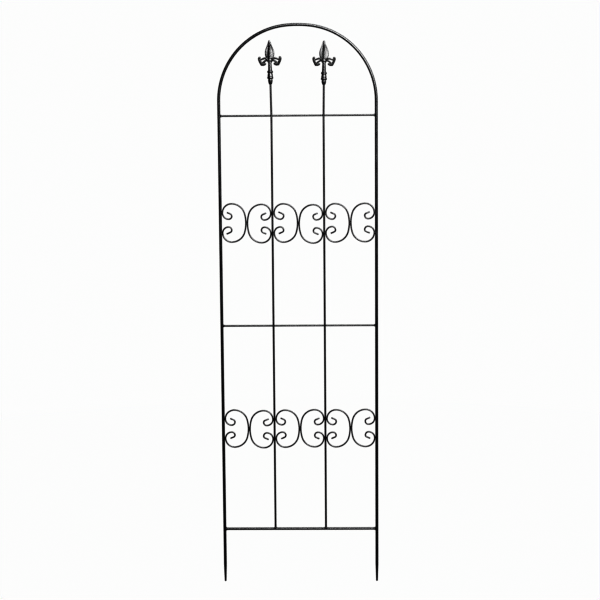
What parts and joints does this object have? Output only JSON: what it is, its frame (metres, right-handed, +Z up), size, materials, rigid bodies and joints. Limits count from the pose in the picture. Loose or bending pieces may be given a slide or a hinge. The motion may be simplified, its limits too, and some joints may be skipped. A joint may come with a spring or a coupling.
{
  "type": "garden trellis panel",
  "caption": "Tall arched garden trellis panel of welded black steel bar, with rows of C-scrolls, cast spear finials and stake feet to hold climbing plants.",
  "frame": {"origin": "on the ground line under the stake tips, midway between the legs, in the hoop's own plane", "axes": "+Z up the panel to the crown of the arch, +X across the panel from left leg to right leg, +Y through the panel to its back"},
  "size_m": [0.504, 0.019, 1.8],
  "materials": {
    "black_frame": "gloss black stoved paint on round steel bar",
    "black_bar": "gloss black stoved paint on drawn steel rod",
    "black_wire": "gloss black stoved paint on bent steel wire",
    "black_casting": "gloss black stoved paint over a lightly textured casting",
    "black_weld": "gloss black stoved paint over rippled weld beads"
  },
  "bodies": {
    "root": {"frame_hoop": "black_frame", "crossbar_bottom": "black_bar", "crossbar_middle": "black_bar", "crossbar_top": "black_bar", "upright_left": "black_bar", "upright_right": "black_bar", "scroll_lower_1": "black_wire", "scroll_lower_2": "black_wire", "scroll_lower_3": "black_wire", "scroll_lower_4": "black_wire", "scroll_lower_5": "black_wire", "scroll_lower_6": "black_wire", "scroll_upper_1": "black_wire", "scroll_upper_2": "black_wire", "scroll_upper_3": "black_wire", "scroll_upper_4": "black_wire", "scroll_upper_5": "black_wire", "scroll_upper_6": "black_wire", "finial_left": "black_casting", "finial_right": "black_casting", "welds_bar_ends": "black_weld", "welds_crossings": "black_weld", "welds_feet": "black_weld", "welds_curls_lower": "black_weld", "welds_curls_upper": "black_weld", "welds_backs_lower": "black_weld", "welds_backs_upper": "black_weld"}
  },
  "joints": []
}
